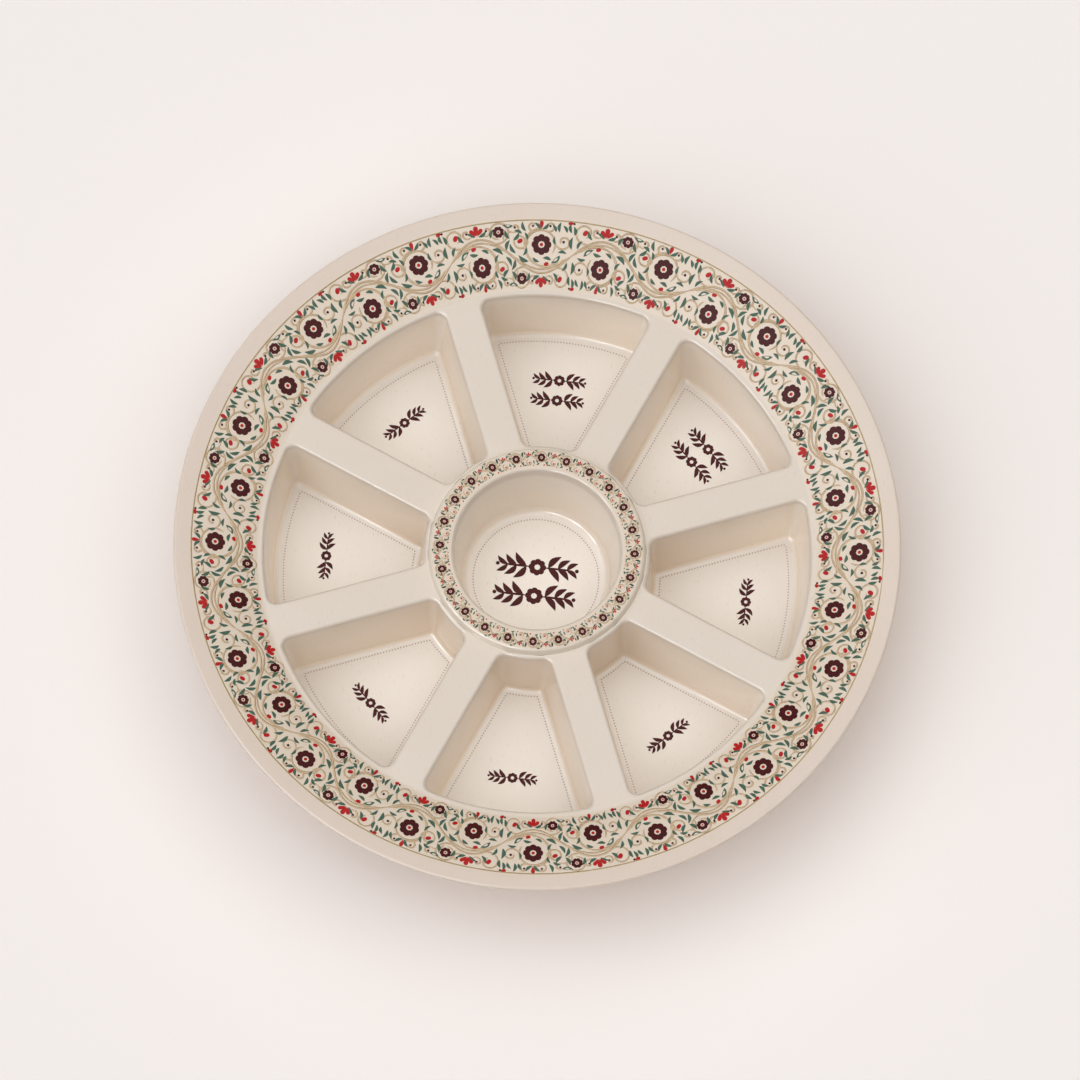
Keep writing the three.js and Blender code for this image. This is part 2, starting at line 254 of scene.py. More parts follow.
def rounded_path(corners):
    """A path through corners (radius, height, rounding), each rounded by an arc of its own."""
    path = []
    for i, (x, y, *rounding) in enumerate(corners):
        corner = Vector((x, y))
        if not rounding:
            path.append((x, y))
            continue
        back = Vector(corners[i - 1][:2]) - corner
        on = Vector(corners[i + 1][:2]) - corner
        reach = min(back.length, on.length) / 2
        back.normalize()
        on.normalize()
        half = back.angle(on) / 2
        cut = min(rounding[0] / math.tan(half), reach)
        centre = corner + (back + on).normalized() * cut / math.cos(half)
        first = corner + back * cut - centre
        last = corner + on * cut - centre
        for step in range(ROUND_STEPS + 1):
            path.append(tuple(centre + first.slerp(last, step / ROUND_STEPS) * first.length))
    return path


def rim_height(radius):
    """Height of the deck's and the rim's upper face, with a hollow blend between them."""
    out = radius - rim_start
    slope = (rim_rise + 4 * RIM_CROWN) / RIM_WIDTH
    if out < -RIM_BLEND:
        return deck_top
    if out < RIM_BLEND:
        return deck_top + slope * (out + RIM_BLEND) ** 2 / (4 * RIM_BLEND)
    along = out / RIM_WIDTH
    return deck_top + rim_rise * along + 4 * RIM_CROWN * along * (1 - along)


def under_height(radius):
    return rim_height(radius) - WALL


def rim_profile():
    """The rim from the deck up to the lip, round it and back in on the underside."""
    reach = PLATE_RADIUS - 2 * WALL
    blend = [rim_start + RIM_BLEND * share for share in BLEND_ROWS]
    slope = [rim_start + RIM_BLEND + (reach - rim_start - RIM_BLEND) * row / RIM_ROWS
             for row in range(1, RIM_ROWS + 1)]
    upper = [(radius, rim_height(radius)) for radius in (SECTOR_OUTER, *blend, *slope)]
    lip = rim_height(PLATE_RADIUS)
    lower = [(radius, under_height(radius)) for radius in (*slope[::-1], UNDER_OUTER)]
    return rounded_path([*upper, (PLATE_RADIUS, lip, LIP_ROUND),
                         (PLATE_RADIUS, lip - WALL, LIP_ROUND), *lower])


def ring_profile():
    """The raised ring and the round well, from the deck in to the well's flat floor."""
    return rounded_path([(RING_FOOT, deck_top), (RING_OUTER, RING_TOP, RING_EDGE_ROUND),
                         (CENTRE_OPENING_RADIUS, RING_TOP, EDGE_ROUND),
                         (centre_floor_edge, FLOOR_TOP, CENTRE_FILLET),
                         (FOOT_RING_RADIUS, FLOOR_TOP)])


def ring_under_profile():
    """The underside of the ring and the round well, in to the foot ring and the middle."""
    lean = math.tan(CENTRE_DRAFT)
    skin = centre_floor_edge + WALL / math.cos(CENTRE_DRAFT)
    outer = FOOT_RING_RADIUS + FOOT_WIDTH / 2
    inner = FOOT_RING_RADIUS - FOOT_WIDTH / 2
    return rounded_path([(RING_FOOT - shoulder_shift, deck_top - WALL),
                         (RING_OUTER - shoulder_shift, RING_TOP - WALL),
                         (skin + (RING_TOP - WALL - FLOOR_TOP) * lean, RING_TOP - WALL),
                         (skin - WALL * lean, FOOT_HEIGHT, CENTRE_FILLET + WALL),
                         (outer, FOOT_HEIGHT), (outer, 0, FOOT_ROUND), (inner, 0, FOOT_ROUND),
                         (inner, FOOT_HEIGHT), (inner / 2, FOOT_HEIGHT)])


# Wedge wells

floor_corner = {
    "outer": OPENING_OUTER - WELL_DEPTH * math.tan(OUTER_DRAFT),
    "inner": OPENING_INNER + WELL_DEPTH * math.tan(INNER_DRAFT),
    "side": OPENING_SIDE + WELL_DEPTH * math.tan(SIDE_DRAFT),
}


def arc(centre, radius, start, end, steps):
    """Points along an arc, both ends included."""
    angles = [start + (end - start) * step / steps for step in range(steps + 1)]
    return [centre + radius * Vector((math.cos(angle), math.sin(angle))) for angle in angles]


def wedge_outline(outer, inner, side, corner):
    """A wedge whose middle lies along +Y. Its straight sides stay a fixed distance from the
    middles of the dividers, and its four corners are rounded."""
    half = well_turn / 2
    along = Vector((math.sin(half), math.cos(half)))
    away = Vector((-math.cos(half), math.sin(half)))
    centres = [along * math.sqrt(distance ** 2 - (side + corner) ** 2) + away * (side + corner)
               for distance in (outer - corner, inner + corner)]
    outer_angle, inner_angle = (math.atan2(centre.y, centre.x) for centre in centres)
    axis = Vector((0, 0))
    right = [*arc(axis, outer, math.pi / 2, outer_angle, OUTER_STEPS)[:-1],
             *arc(centres[0], corner, outer_angle, -half, CORNER_STEPS),
             *arc(centres[1], corner, -half, inner_angle - math.pi, CORNER_STEPS),
             *arc(axis, inner, inner_angle, math.pi / 2, INNER_STEPS)[1:]]
    left = [Vector((-point.x, point.y)) for point in right[-2:0:-1]]
    return [tuple(point) for point in right + left]


def wall_reach(height, lean, skin):
    """How far a wall stands out from its sharp floor corner, at a height over the floor."""
    fillet = FLOOR_FILLET + skin
    fillet_end = FLOOR_FILLET - fillet * math.sin(lean)
    edge_start = WELL_DEPTH - EDGE_ROUND * (1 - math.sin(lean))
    if height < fillet_end:
        drop = FLOOR_FILLET - height
        return math.sqrt(max(fillet ** 2 - drop ** 2, 0)) - round_reach(FLOOR_FILLET, lean)
    if skin == 0 and height > edge_start:
        rise = height - WELL_DEPTH + EDGE_ROUND
        edge_end = WELL_DEPTH * math.tan(lean) + round_reach(EDGE_ROUND, lean)
        return edge_end - math.sqrt(max(EDGE_ROUND ** 2 - rise ** 2, 0))
    return height * math.tan(lean) + skin / math.cos(lean)


def well_section(height, skin=0, inset=0):
    """Outline of a wedge well at a height over its floor, or of its outer skin."""
    side = wall_reach(height, SIDE_DRAFT, skin)
    lowest = wall_reach(0, SIDE_DRAFT, 0)
    highest = wall_reach(WELL_DEPTH, SIDE_DRAFT, 0)
    share = min(max((side - skin - lowest) / (highest - lowest), 0), 1)
    corner = CORNER_AT_FLOOR + (CORNER_AT_OPENING - CORNER_AT_FLOOR) * share + skin
    return wedge_outline(floor_corner["outer"] + wall_reach(height, OUTER_DRAFT, skin) - inset,
                         floor_corner["inner"] - wall_reach(height, INNER_DRAFT, skin) + inset,
                         floor_corner["side"] - side + inset, corner)


def fillet_heights(skin):
    """Heights over the floor at which a fillet is drawn, from the floor up."""
    angles = [(math.pi / 2 - SIDE_DRAFT) * step / ROUND_STEPS for step in range(ROUND_STEPS + 1)]
    return [FLOOR_FILLET - (FLOOR_FILLET + skin) * math.cos(angle) for angle in angles]


def edge_heights():
    """Heights over the floor at which the rounded upper edge is drawn, from the deck down."""
    angles = [math.pi / 2 - (math.pi / 2 - SIDE_DRAFT) * step / ROUND_STEPS
              for step in range(ROUND_STEPS + 1)]
    return [WELL_DEPTH - EDGE_ROUND + EDGE_ROUND * math.sin(angle) for angle in angles]


def make_well():
    """One eighth of the deck with its well, from the middles of its dividers to the floor."""
    add_points(wedge_outline(SECTOR_OUTER, RING_FOOT, 0, 0), rim_height)
    for height in [*edge_heights(), *fillet_heights(0)[::-1]]:
        next_loop(well_section(height), FLOOR_TOP + height)
    return end_modelling("well", close=True)


def make_well_underside():
    """The same eighth from below: deck, bulge of the well and the foot arc under it."""
    add_points(wedge_outline(UNDER_OUTER, RING_FOOT - shoulder_shift, 0, 0), under_height)
    next_loop(well_section(WELL_DEPTH - WALL, WALL), under_height)
    for height in fillet_heights(WALL)[::-1]:
        next_loop(well_section(height, WALL), FLOOR_TOP + height)
    for inset, height in ((0, FOOT_HEIGHT), (0, FOOT_ROUND), (FOOT_ROUND, 0)):
        next_loop(wedge_outline(FOOT_ARC_RADIUS + FOOT_WIDTH / 2 - inset,
                                FOOT_ARC_RADIUS - FOOT_WIDTH / 2 + inset,
                                FOOT_ARC_SIDE + inset, FOOT_CORNER), height)
    return end_modelling("well_underside", close=True)


def make_dish():
    """The whole moulding: eight wells round the turned ring, inside the turned rim."""
    parts = [turned("rim", rim_profile(), RIM_COLUMNS),
             turned("ring", ring_profile(), RING_COLUMNS, close=True),
             turned("ring_underside", ring_under_profile(), RING_COLUMNS, close=True)]
    for eighth in (make_well(), make_well_underside()):
        parts.append(eighth)
        parts += [copy_of(eighth, well * well_turn) for well in range(1, WELL_COUNT)]
    dish = joined("dish", parts)
    bpy.ops.object.mode_set(mode="EDIT")
    bpy.ops.mesh.select_all(action="SELECT")
    bpy.ops.mesh.remove_doubles(threshold=MERGE_DISTANCE)
    bpy.ops.mesh.normals_make_consistent(inside=False)
    bpy.ops.object.mode_set(mode="OBJECT")
    bpy.ops.object.shade_smooth_by_angle(angle=SHARP_ANGLE)
    bpy.ops.object.modifier_add(type="WEIGHTED_NORMAL")
    dish.modifiers[-1].keep_sharp = True
    bpy.ops.object.modifier_apply(modifier=dish.modifiers[-1].name)
    to_metres(dish)
    return dish


# Printed ornament: a border of scrolls on the rim, a smaller one on the ring, and sprigs in each
# well inside a dotted line. Motifs are drawn flat, repeated, and laid onto the plate.

BAND_MIDDLE = 154.8
BAND_STRETCH = 1.03 # how much wider the border is laid than it is drawn
BAND_REPEATS = 16
BAND_WAVES = ((8.6, 1.05), (6.9, 0.9)) # swing to either side and width of the double stem
BAND_WAVE_STEPS = 64
BAND_LINE_RADIUS = 171.4
BAND_LINE_WIDTH = 1.05
TENDRIL_WIDTH = 0.9
RING_MIDDLE = 47.8
RING_STRETCH = 1.14
RING_REPEATS = 24
RING_WAVE = 1.5
RING_WAVE_STEPS = 20
RING_MOTIF = 0.4 # size of the ring's motifs against the rim's
RING_LINE_WIDTH = 0.62
LINE_STEPS = 192 # round the whole plate

# The rim's lines beside its stem, in half a repeat: middle, first and last angle, first and last
# distance from the middle, steps, ease
BAND_COILS = [
    (15.2, -4.4, 150, -215, 12.9, 6.6, 46, 3.5),
    (15.2, -4.4, 140, -100, 11.4, 7.6, 30, 2.2),
    (25.4, 11.0, -133, 270, 5.5, 3.4, 26, 1.3),
    (5.2, 11.2, -50, -440, 5.6, 2.1, 26, 1.3),
    (4.6, -6.0, 0, 390, 4.1, 1.4, 20, 1.2),
    (25.5, -6.2, 180, -220, 4.0, 1.9, 20, 1.2),
    (11.2, -13.1, 40, 340, 2.9, 0.9, 14, 1.2),
    (19.2, -13.1, 140, -160, 2.9, 0.9, 14, 1.2),
    (10.6, 12.2, -30, -330, 2.8, 0.8, 14, 1.2),
    (19.8, 12.2, 210, 510, 2.8, 0.8, 14, 1.2),
    (30.9, 7.6, 200, 60, 3.6, 3.0, 12, 1),
    (27.6, -12.6, 60, 330, 2.4, 0.8, 14, 1.2),
]

# The rim's shapes in half a repeat: motif, place, turn in degrees, scale
BAND_SHAPES = {
    "green": [
        ("leaf", -0.6, 2.8, 88, 0.9), ("leaf", 2.2, 3.2, 62, 0.72),
        ("leaf", 8.8, 8.4, 118, 0.72), ("leaf", 21.4, 8.4, 64, 0.72),
        ("small_leaf", 14.4, 9.9, 150, 1), ("small_leaf", 16, 9.9, 30, 1),
        ("leaf", 28.4, 2.2, 66, 0.8), ("leaf", 30.4, 7.4, 112, 0.75),
        ("small_leaf", 32.2, 6.6, 52, 1.05), ("leaf", 21.6, 3.4, -32, 0.9),
        ("leaf", 27.9, -0.6, -62, 0.8),
        ("open_leaf", 8, 2.2, 40, 0.85), ("small_leaf", 10.2, 2.6, -10, 1),
        ("leaf", 22.6, -10.6, -74, 0.74), ("small_leaf", 24.4, -9.6, -24, 0.9),
        ("leaf", 6.8, -10.4, -96, 0.74), ("small_leaf", 8.4, -10.4, -62, 0.9),
        ("small_leaf", 14.7, -11.5, -132, 0.95), ("small_leaf", 15.7, -11.5, -48, 0.95),
        ("open_leaf", 30, 13.8, 172, 0.72), ("leaf", 7, -1, 176, 0.66),
        ("leaf", 22.4, -3.2, 62, 0.66), ("leaf", 1.2, -10.4, -84, 0.72),
        ("small_leaf", 3.2, -10.4, -58, 0.9), ("small_leaf", 0.4, 9.4, 100, 1),
        ("leaf", 8.6, -4.4, -86, 0.6), ("small_leaf", 19.6, 1.6, 150, 0.9),
        ("small_leaf", 21.9, -6.6, -70, 0.85),
    ],
    "red": [
        ("petal", 15.2, 10.4, 90, 1), ("petal", 14.9, 10.4, 128, 0.85),
        ("petal", 15.5, 10.4, 52, 0.85), ("berry", 5.2, 11.2, 60, 0.95),
        ("berry", 25.5, -6.2, 30, 0.9), ("berry", 2, -15, 20, 0.75),
        ("petal", 15.2, -11.8, -90, 0.8), ("seed", 15.2, -4.4, 0, 1),
        ("berry", 12.6, 4.5, 20, 0.8), ("seed", 25.4, 11, 0, 0.55),
    ],
    "maroon": [
        ("blossom", 15.2, -4.4, 0, 0.92), ("blossom", 25.4, 11, 20, 0.52),
        ("dot", 10.6, 12.2, 0, 0.8), ("dot", 19.8, 12.2, 0, 0.8), ("dot", 4.6, -6, 0, 0.95),
        ("dot", 11.2, -13.1, 0, 0.8), ("dot", 19.2, -13.1, 0, 0.8),
        ("dot", -0.4, 14.9, 0, 0.8), ("dot", 27.6, -12.6, 0, 0.8),
    ],
}

# The ring's lines and shapes in one repeat, in the same way
RING_COILS = [
    (9.3, 0.5, 215, -60, 2.7, 2.4, 14, 1),
    (3.2, -1.9, 100, 400, 1.6, 0.8, 12, 1),
    (6.2, 1.5, 200, -100, 1.5, 0.7, 12, 1),
    (0.2, -1.4, 30, 300, 1.4, 0.7, 12, 1),
]
RING_SHAPES = {
    "green": [
        ("leaf", 0.2, 0.7, 78, 1), ("leaf", 5.6, 0.9, 0, 0.8), ("leaf", 1.7, 0.2, 20, 0.8),
        ("leaf", 11.4, -1.4, -60, 0.95), ("small_leaf", 5.4, -0.8, -72, 1.1),
        ("small_leaf", 12.2, 1.4, 78, 1.1), ("small_leaf", 4.6, 1.8, 60, 1.1),
        ("small_leaf", 8.6, -2.5, -160, 1.1), ("small_leaf", 7.6, 3.1, 168, 1),
        ("small_leaf", 1.3, 1.6, 100, 1), ("small_leaf", 1.8, -3.2, 175, 0.9),
        ("leaf", 6.4, -1, -50, 0.8),
    ],
    "red": [
        ("petal", 3.1, 1.2, 90, 0.85), ("petal", 2.9, 1.2, 135, 0.7),
        ("petal", 3.3, 1.2, 45, 0.7), ("berry", 3.2, -2, 20, 0.8), ("seed", 6.2, 1.6, -20, 0.9),
        ("seed", 9.3, 0.4, 0, 1), ("berry", 10.9, -3, 30, 0.7),
    ],
    "maroon": [("blossom", 9.3, 0.4, 10, 0.94), ("dot", 0.1, -1.5, 0, 1), ("dot", 5.3, -3.2, 0, 1)],
}

# Ink: how deep a printed shape reaches into the surface, and how high each ink stands above it
INK_ROOT = -0.12
INK_HEIGHT = {"gold": 0.05, "green": 0.06, "red": 0.07, "maroon": 0.08}
LINE_TIP = 0.45 # width of a line's end as a share of its width
LINE_TIP_STEPS = 3

# Leaves: length, width and bend to one side
LEAF = (6.6, 2.1, 0.9)
SMALL_LEAF = (4.4, 1.6, -0.5)
OPEN_LEAF = (6.8, 2.4, 0.6)
SPRIG_LEAF = (5.4, 1.9, 0.6)
LEAF_TAPER = 0.4 # how much fuller a leaf is at its foot than at its tip
LEAF_ROUNDNESS = 0.85
LEAF_STEPS = 7

# One edge of a petal, from its foot to its tip
PETAL_EDGE = ((0, 0), (1.1, 0.55), (2.4, 1.0), (3.5, 1.15), (4.4, 0.85), (4.8, 0))

# Blossoms, berries, seeds, dots, and the beads that make a dotted line
BLOSSOM_RADIUS = 4.5
BLOSSOM_PETALS = 8
BLOSSOM_SCALLOP = 0.75 # how far its petals stand out
BLOSSOM_ROUNDNESS = 0.7
BERRY_RADIUS = 1.1
BERRY_LENGTHENING = 0.5
SEED_RADIUS = 0.85
DOT_RADIUS = 0.72
BEAD_RADIUS = 0.36
BEAD_PITCH = 1.5
BLOSSOM_HOLE = 0.34 # share of a blossom left bare in its middle
OPEN_LEAF_HOLE = 0.5

# A sprig of size 1, from its blossom out to either side
SPRIG_BLOSSOM = 0.56
SPRIG_LEAVES = ((3.6, 1.12, 48), (6.8, 0.98, 42), (9.8, 0.84, 36)) # place, scale and lean of a pair
SPRIG_STEM = (2.6, 11.4)
SPRIG_STEM_WIDTH = 0.75
SPRIG_STEM_STEPS = 11
SPRIG_TIP = (13.2, 0.95) # place and scale of its last dot

# Rows of sprigs, by their distance from the plate's axis, and the wells with two rows
SPRIG_ROWS = (105,)
SPRIG_SIZE = 0.9
DOUBLE_SPRIG_ROWS = {1: (105.4, 94.8), 2: (110, 99.4)}
DOUBLE_SPRIG_SIZE = 0.98
CENTRE_SPRIG_ROWS = (6.2, -9)
CENTRE_SPRIG_SIZE = 1.5

# The dotted line in a wedge well
LINE_INNER = 61.7
LINE_SIDE = 16.4
LINE_CORNER = 1.2

band_length = 2 * math.pi * BAND_MIDDLE / BAND_REPEATS
ring_length = 2 * math.pi * RING_MIDDLE / RING_REPEATS


def flat_motif(name, points, ink, hole=0):
    """A printed shape with its outline drawn through points, a little higher than the surface.
    A hole is a share of the outline, left bare in the middle."""
    add_points(points, INK_ROOT)
    if hole:
        bpy.ops.mesh.extrude_edges_move()
        bpy.ops.transform.resize(value=(hole, hole, 1), center_override=(0, 0, 0))
    else:
        bpy.ops.mesh.edge_face_add()
    bpy.ops.mesh.select_all(action="SELECT")
    rise = {"value": (0, 0, INK_HEIGHT[ink] - INK_ROOT)}
    bpy.ops.mesh.extrude_region_move(TRANSFORM_OT_translate=rise)
    bpy.ops.mesh.select_all(action="SELECT")
    bpy.ops.mesh.normals_make_consistent(inside=False)
    return end_modelling(name)


def round_points(radius_at, count):
    """Points round the origin at a distance that a function of the angle gives."""
    angles = [2 * math.pi * step / count for step in range(count)]
    return [(radius_at(angle) * math.cos(angle), radius_at(angle) * math.sin(angle))
            for angle in angles]


def leaf_points(length, width, bend):
    """A pointed leaf that starts at the origin and lies along +X, bent to one side."""
    def edge(share, side):
        swell = math.sin(math.pi * share)
        half = width / 2 * swell ** LEAF_ROUNDNESS * (1 + LEAF_TAPER / 2 - LEAF_TAPER * share)
        return (length * share, bend * swell + side * half)
    upper = [edge(step / LEAF_STEPS, 1) for step in range(LEAF_STEPS + 1)]
    lower = [edge(step / LEAF_STEPS, -1) for step in range(LEAF_STEPS - 1, 0, -1)]
    return (upper + lower)[::-1]


def petal_points():
    """A rounded petal that stands on the origin and widens along +X."""
    other_edge = [(x, -y) for x, y in PETAL_EDGE[-2:0:-1]]
    return [*PETAL_EDGE, *other_edge][::-1]


def blossom_points():
    """A round flower with a scallop for each petal."""
    def radius_at(angle):
        scallop = abs(math.cos(BLOSSOM_PETALS / 2 * angle)) ** BLOSSOM_ROUNDNESS
        return BLOSSOM_RADIUS + BLOSSOM_SCALLOP * scallop
    return round_points(radius_at, count=6 * BLOSSOM_PETALS)


def berry_points():
    """A round berry, longer along X than across."""
    return round_points(lambda angle: BERRY_RADIUS + BERRY_LENGTHENING * math.cos(angle) ** 2,
                        count=12)


def make_motifs():
    """One of each printed shape."""
    open_leaf = [(x - OPEN_LEAF[0] / 2, y) for x, y in leaf_points(*OPEN_LEAF)]
    seed = round_points(lambda angle: SEED_RADIUS, count=10)
    dot = round_points(lambda angle: DOT_RADIUS, count=8)
    bead = round_points(lambda angle: BEAD_RADIUS, count=6)
    return {
        "leaf": flat_motif("leaf", leaf_points(*LEAF), "green"),
        "small_leaf": flat_motif("small_leaf", leaf_points(*SMALL_LEAF), "green"),
        "open_leaf": flat_motif("open_leaf", open_leaf, "green", hole=OPEN_LEAF_HOLE),
        "petal": flat_motif("petal", petal_points(), "red"),
        "berry": flat_motif("berry", berry_points(), "red"),
        "seed": flat_motif("seed", seed, "red"),
        "blossom": flat_motif("blossom", blossom_points(), "maroon", hole=BLOSSOM_HOLE),
        "dot": flat_motif("dot", dot, "maroon"),
        "bead": flat_motif("bead", bead, "gold"),
        "sprig_leaf": flat_motif("sprig_leaf", leaf_points(*SPRIG_LEAF), "maroon"),
    }


def stamped(name, places):
    """One mesh with a copy of a motif at each place: motif, x, y, turn in degrees, scale."""
    copies = []
    for motif, x, y, turn, scale in places:
        copied = copy_of(motif, 0)
        size = Matrix.Diagonal((scale, scale, 1, 1))
        turned_by = Matrix.Rotation(math.radians(turn), 4, "Z")
        copied.data.transform(Matrix.Translation((x, y, 0)) @ turned_by @ size)
        copies.append(copied)
    return joined(name, copies)


def ink_lines(name, lines, ink):
    """Thin printed lines, each given by its points and its width, narrower at their ends."""
    curve = bpy.data.curves.new(name, "CURVE")
    curve.dimensions = "3D"
    curve.bevel_depth = 0.5 # so that a point's radius is the whole width of the line
    curve.bevel_resolution = 0
    curve.use_fill_caps = True
    for points, width in lines:
        spline = curve.splines.new("POLY")
        spline.points.add(len(points) - 1)
        for i, (x, y) in enumerate(points):
            from_end = min(i, len(points) - 1 - i, LINE_TIP_STEPS) / LINE_TIP_STEPS
            spline.points[i].co = (x, y, 0, 1)
            spline.points[i].radius = width * (LINE_TIP + (1 - LINE_TIP) * from_end)
    drawn = bpy.data.objects.new(name, curve)
    bpy.context.collection.objects.link(drawn)
    bpy.ops.object.select_all(action="DESELECT")
    drawn.select_set(True)
    bpy.context.view_layer.objects.active = drawn
    bpy.ops.object.convert(target="MESH")
    drawn = bpy.context.object
    thickest = max(vertex.co.z for vertex in drawn.data.vertices)
    drawn.data.transform(Matrix.Scale(INK_HEIGHT[ink] / thickest, 4, (0, 0, 1)))
    return drawn


def half_turned(points, length):
    """Points turned by half a turn about the middle of a repeat."""
    return [(length - x, -y) for x, y in points]


def both_halves(places, length):
    """Places of one half of a repeat, and the same turned by half a turn for the other half."""
    other = [(motif, length - x, -y, turn + 180, scale) for motif, x, y, turn, scale in places]
    return places + other


def waved(length, swing, steps):
    """One whole wave of a line along +X."""
    return [(length * step / steps, swing * math.sin(2 * math.pi * step / steps))
            for step in range(steps + 1)]


def coil(x, y, start, end, outer, inner, steps, ease):
    """A line that winds in round a point, from one angle to another in degrees."""
    points = []
    for step in range(steps + 1):
        share = step / steps
        angle = math.radians(start + (end - start) * share)
        radius = inner + (outer - inner) * (1 - share) ** ease
        points.append((x + radius * math.cos(angle), y + radius * math.sin(angle)))
    return points


def repeated_round(piece, count, length, middle, stretch, height):
    """Repeats a flat piece along +X and lays it round the plate, stretched outward and inward,
    on the surface at a height."""
    bpy.ops.object.select_all(action="DESELECT")
    piece.select_set(True)
    bpy.context.view_layer.objects.active = piece
    bpy.ops.object.modifier_add(type="ARRAY")
    array = piece.modifiers[-1]
    array.count = count
    array.use_relative_offset = False
    array.use_constant_offset = True
    array.constant_offset_displace = (length, 0, 0)
    bpy.ops.object.modifier_apply(modifier=array.name)
    for vertex in piece.data.vertices:
        x, y, z = vertex.co
        radius = middle + y * stretch
        vertex.co = (radius * math.sin(x / middle), radius * math.cos(x / middle),
                     height(radius) + z)
    piece.data.update()


def band_pieces(motifs):
    """The rim's border: a waving double stem with a blossom inside each scroll, leaves, small
    flowers and berries between them, and one fine line outside it all."""
    lines = [(waved(band_length, swing, BAND_WAVE_STEPS), width) for swing, width in BAND_WAVES]
    for numbers in BAND_COILS:
        points = coil(*numbers)
        lines += [(points, TENDRIL_WIDTH), (half_turned(points, band_length), TENDRIL_WIDTH)]
    pieces = {"gold": ink_lines("rim_border_gold", lines, "gold")}
    for ink, shapes in BAND_SHAPES.items():
        places = [(motifs[motif], *place) for motif, *place in shapes]
        pieces[ink] = stamped("rim_border_" + ink, both_halves(places, band_length))
    for piece in pieces.values():
        repeated_round(piece, BAND_REPEATS, band_length, BAND_MIDDLE, BAND_STRETCH, rim_height)
    angles = [2 * math.pi * step / LINE_STEPS for step in range(LINE_STEPS + 1)]
    circle = [(BAND_LINE_RADIUS * math.cos(angle), BAND_LINE_RADIUS * math.sin(angle))
              for angle in angles]
    line = ink_lines("rim_line", [(circle, BAND_LINE_WIDTH)], "gold")
    line.data.transform(Matrix.Translation((0, 0, rim_height(BAND_LINE_RADIUS))))
    pieces["line"] = line
    return pieces


def ring_pieces(motifs):
    """The ring's border: a small waving stem with a blossom on one side and a flower of three
    petals on the other."""
    lines = [(waved(ring_length, RING_WAVE, RING_WAVE_STEPS), RING_LINE_WIDTH)]
    lines += [(coil(*numbers), RING_LINE_WIDTH) for numbers in RING_COILS]
    pieces = {"gold": ink_lines("ring_border_gold", lines, "gold")}
    for ink, shapes in RING_SHAPES.items():
        places = [(motifs[motif], x, y, turn, scale * RING_MOTIF)
                  for motif, x, y, turn, scale in shapes]
        pieces[ink] = stamped("ring_border_" + ink, places)
    for piece in pieces.values():
        repeated_round(piece, RING_REPEATS, ring_length, RING_MIDDLE, RING_STRETCH,
                       lambda radius: RING_TOP)
    return pieces


def evenly_along(outline, pitch):
    """Points at an even pitch along a closed outline."""
    corners = [Vector(point) for point in outline]
    edges = list(zip(corners, corners[1:] + corners[:1]))
    total = sum((end - start).length for start, end in edges)
    count = round(total / pitch)
    points, done = [], 0
    for start, end in edges:
        length = (end - start).length
        while len(points) < count and len(points) * total / count < done + length:
            points.append(start.lerp(end, (len(points) * total / count - done) / length))
        done += length
    return points


def dotted_line(name, outline, motifs):
    """A printed line of fine beads on a well's floor."""
    places = [(motifs["bead"], x, y, 0, 1) for x, y in evenly_along(outline, BEAD_PITCH)]
    line = stamped(name, places)
    line.data.transform(Matrix.Translation((0, 0, FLOOR_TOP)))
    return line


def make_sprigs(name, motifs, size, rows):
    """Sprigs that lie along X, one in each row: leaves in pairs on both sides of a blossom."""
    places, stems = [], []
    stem_start, stem_end = SPRIG_STEM
    tip, tip_scale = SPRIG_TIP
    for y in rows:
        places.append((motifs["blossom"], 0, y, 0, SPRIG_BLOSSOM * size))
        for side, facing in ((size, 0), (-size, 180)):
            for along, scale, lean in SPRIG_LEAVES:
                for turn in (facing + lean, facing - lean):
                    places.append((motifs["sprig_leaf"], side * along, y, turn, scale * size))
            places.append((motifs["dot"], side * tip, y, 0, tip_scale * size))
            stem = [(side * (stem_start + (stem_end - stem_start) * step / SPRIG_STEM_STEPS), y)
                    for step in range(SPRIG_STEM_STEPS + 1)]
            stems.append((stem, SPRIG_STEM_WIDTH * size))
    sprigs = joined(name, [stamped(name, places), ink_lines(name + "_stems", stems, "maroon")])
    sprigs.data.transform(Matrix.Translation((0, 0, FLOOR_TOP)))
    return sprigs


def well_print(motifs):
    """The dotted line and the sprigs on each wedge well's floor."""
    outline = wedge_outline(LINE_OUTER, LINE_INNER, LINE_SIDE, LINE_CORNER)
    line = dotted_line("well_line", outline, motifs)
    single = make_sprigs("single_sprig", motifs, SPRIG_SIZE, SPRIG_ROWS)
    double = {well: make_sprigs("double_sprig", motifs, DOUBLE_SPRIG_SIZE, rows)
              for well, rows in DOUBLE_SPRIG_ROWS.items()}
    pieces = []
    for well in range(1, WELL_COUNT + 1):
        turn = (well - 1) * well_turn
        pieces.append((copy_of(line, turn), copy_of(double.get(well, single), turn)))
        for piece, mark in zip(pieces[-1], ("line", "sprig")):
            piece.name = f"well_{mark}_{well}"
    for pattern in (line, single, *double.values()):
        bpy.data.objects.remove(pattern)
    return pieces


def centre_print(motifs):
    """The dotted line and the larger sprigs on the round well's floor."""
    outline = round_points(lambda angle: CENTRE_LINE_RADIUS, count=LINE_STEPS // 2)
    return (dotted_line("centre_line", outline, motifs),
            make_sprigs("centre_sprig", motifs, CENTRE_SPRIG_SIZE, CENTRE_SPRIG_ROWS))


# Materials

